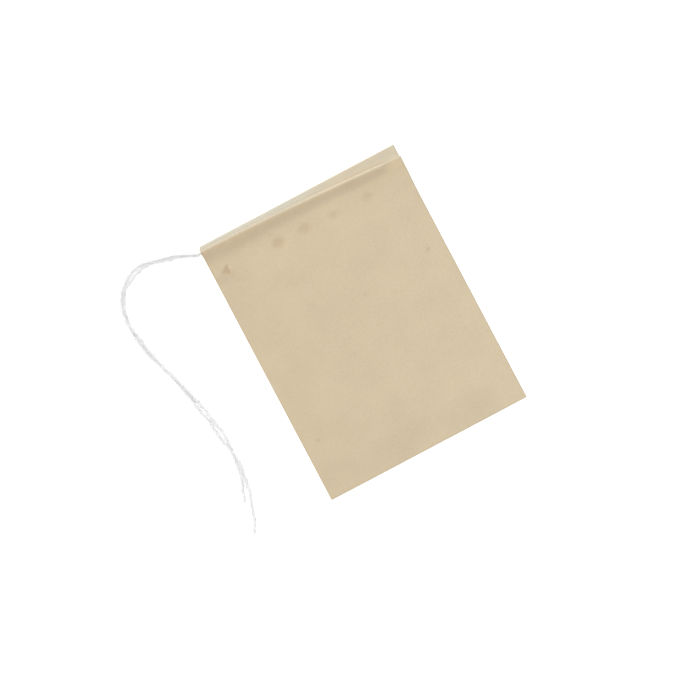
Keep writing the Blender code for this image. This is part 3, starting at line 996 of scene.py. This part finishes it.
def add_area_light(name, azimuth, elevation, distance, size, power, color):
    """A square light aimed at the bag. Azimuth is measured from the bag's +Y towards +X."""
    data = bpy.data.lights.new(name, "AREA")
    data.energy = power
    data.color = color
    data.size = size
    light = link(bpy.data.objects.new(name, data))
    flat = math.cos(elevation)
    direction = Vector((math.sin(azimuth) * flat, math.cos(azimuth) * flat, math.sin(elevation)))
    light.location = direction * distance
    light.rotation_euler = direction.to_track_quat("Z", "Y").to_euler()


def make_lights():
    settings = stage_settings()
    scene = bpy.context.scene
    world = bpy.data.worlds.new("studio")
    world.use_nodes = True
    background = world.node_tree.nodes["Background"]
    background.inputs["Color"].default_value = (1.0, 1.0, 1.0, 1.0)
    background.inputs["Strength"].default_value = settings.sky
    scene.world = world
    add_area_light(
        "key",
        azimuth=settings.turn - math.radians(45),
        elevation=math.radians(45),
        distance=2.4,
        size=0.9,
        power=settings.key_power,
        color=(1.0, 1.0, 1.0),
    )
    add_area_light(
        "fill",
        azimuth=math.radians(112),
        elevation=math.radians(32),
        distance=0.22,
        size=0.12,
        power=settings.fill_power,
        color=(0.62, 0.81, 1.0),
    )
    scene.view_settings.view_transform = "Standard"
    scene.view_settings.look = "None"


# Operators


class FILTERBAG_OT_camera(bpy.types.Operator):
    """Place the camera above the bag"""

    bl_idname = "filter_bag.camera"
    bl_label = "Camera"

    def execute(self, context):
        make_camera()
        return {"FINISHED"}


class FILTERBAG_OT_strings(bpy.types.Operator):
    """Make both strings: the two tails and their runs in the hems"""

    bl_idname = "filter_bag.strings"
    bl_label = "Strings"

    def execute(self, context):
        shape = BagShape()
        tree = make_string_tree()
        material = make_string_material()
        for side, place, route, seed in (
            ("front", shape.front_run_place, FRONT_TAIL_ROUTE, 11),
            ("back", shape.back_run_place, BACK_TAIL_ROUTE, 23),
        ):
            exit_point = place(shape.left) - Vector((STRING_GAP, 0.0, 0.0))
            path = tail_path(exit_point, route)
            tail = make_string_piece(f"{side}_tail", path, tree, material, seed)
            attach(tail, ROOT)
            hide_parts(f"{side}_string_tail")
            in_hem = run_path(shape, place)
            run = make_string_piece(f"{side}_run", in_hem, tree, material, seed + 1, FUZZ_IN_HEM)
            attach(run, ROOT)
            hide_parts(f"{side}_string_in_hem")
        return {"FINISHED"}


class FILTERBAG_OT_paper(bpy.types.Operator):
    """Make the folded, hemmed and sealed paper bag"""

    bl_idname = "filter_bag.paper"
    bl_label = "Paper Bag"

    def execute(self, context):
        shape = BagShape()
        bag = make_web(shape, make_paper_material(make_fibre_group()))
        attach(bag, ROOT)
        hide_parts("filter_bag")
        return {"FINISHED"}


class FILTERBAG_OT_stage(bpy.types.Operator):
    """Make the white table and the light"""

    bl_idname = "filter_bag.stage"
    bl_label = "Stage"

    def execute(self, context):
        make_floor()
        make_lights()
        return {"FINISHED"}


class FILTERBAG_PT_panel(bpy.types.Panel):
    """Lists the sizes, the colours and the steps"""

    bl_label = "Filter Bag"
    bl_idname = "FILTERBAG_PT_panel"
    bl_space_type = "VIEW_3D"
    bl_region_type = "UI"
    bl_category = "Filter Bag"

    def draw(self, context):
        layout = self.layout
        for settings, operators in PANEL_ROWS:
            box = layout.box()
            group = getattr(context.scene, settings)
            for name in group.bl_rna.properties.keys():
                if name not in {"rna_type", "name"}:
                    box.prop(group, name)
            for operator in operators:
                box.operator(operator.bl_idname)


PANEL_ROWS = (
    ("filter_bag_paper", (FILTERBAG_OT_paper,)),
    ("filter_bag_string", (FILTERBAG_OT_strings,)),
    ("filter_bag_stage", (FILTERBAG_OT_camera, FILTERBAG_OT_stage)),
)
SETTINGS = {
    "filter_bag_paper": FilterBagPaperSettings,
    "filter_bag_string": FilterBagStringSettings,
    "filter_bag_stage": FilterBagStageSettings,
}
OPERATORS = (FILTERBAG_OT_camera, FILTERBAG_OT_strings, FILTERBAG_OT_paper, FILTERBAG_OT_stage)


def register():
    for name, settings in SETTINGS.items():
        bpy.utils.register_class(settings)
        setattr(bpy.types.Scene, name, bpy.props.PointerProperty(type=settings))
    for item in (*OPERATORS, FILTERBAG_PT_panel):
        bpy.utils.register_class(item)


def unregister():
    for item in reversed((*OPERATORS, FILTERBAG_PT_panel)):
        bpy.utils.unregister_class(item)
    for name, settings in SETTINGS.items():
        delattr(bpy.types.Scene, name)
        bpy.utils.unregister_class(settings)


def main():
    register()
    bpy.ops.filter_bag.camera()
    bpy.ops.filter_bag.strings()
    bpy.ops.filter_bag.paper()
    bpy.ops.filter_bag.stage()


if __name__ == "__main__":
    main()
